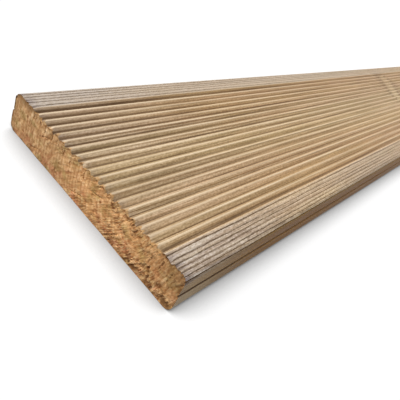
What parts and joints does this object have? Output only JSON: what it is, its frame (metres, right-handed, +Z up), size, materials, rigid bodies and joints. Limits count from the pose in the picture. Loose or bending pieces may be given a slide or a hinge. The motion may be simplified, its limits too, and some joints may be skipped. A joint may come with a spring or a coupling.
{
  "type": "decking board",
  "caption": "Softwood decking board with a reeded walking face, finely grooved margins, rounded arrises and plain sawn ends, for laying across joists.",
  "frame": {"origin": "middle of the underside, halfway along the board", "axes": "+X along the board and its grain, +Y across the walking face, +Z up out of the reeded walking face"},
  "size_m": [1.8, 0.145, 0.025],
  "materials": {
    "softwood": "planed, unfinished"
  },
  "bodies": {
    "root": {"deck_board": "softwood"}
  },
  "joints": []
}
